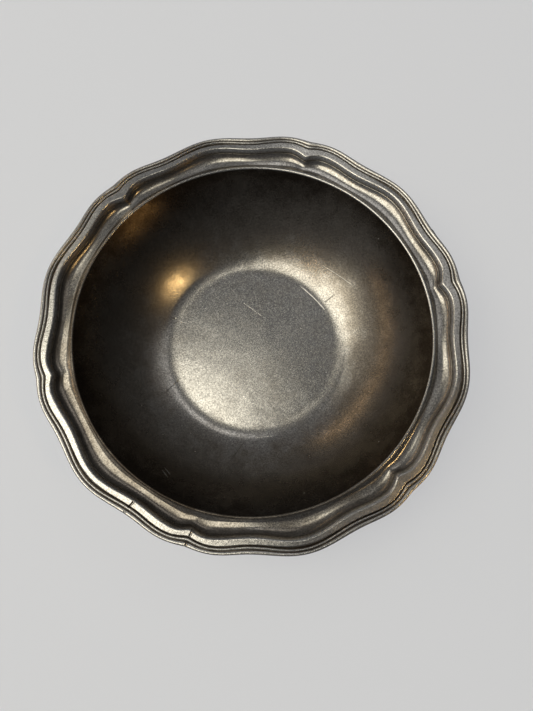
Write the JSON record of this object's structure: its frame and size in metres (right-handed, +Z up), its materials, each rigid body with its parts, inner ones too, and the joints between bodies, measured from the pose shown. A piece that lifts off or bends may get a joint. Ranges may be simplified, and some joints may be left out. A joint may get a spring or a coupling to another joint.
{
  "type": "shaving bowl",
  "caption": "Round dark pewter shaving bowl with a deep smooth well and a wide waved rim with a reeded border, standing on a low foot ring.",
  "frame": {"origin": "middle of the foot ring's underside, on the surface that the bowl stands on", "axes": "+Z up along the bowl's axis; +X points at one of the six notches of the rim, so +Y points at the middle of a lobe"},
  "size_m": [0.161, 0.1618, 0.0352],
  "materials": {
    "body_pewter": "aged pewter, satin, fine grain, brown-black patina in the well",
    "border_pewter": "aged pewter, satin, rubbed brighter on the ridge and the reeds",
    "solder": "dull soft solder, slightly uneven"
  },
  "bodies": {
    "root": {"bowl_body": "body_pewter", "rim_border": "border_pewter", "foot_ring": "body_pewter", "border_solder": "solder", "foot_solder_outer": "solder", "foot_solder_inner": "solder"}
  },
  "joints": []
}
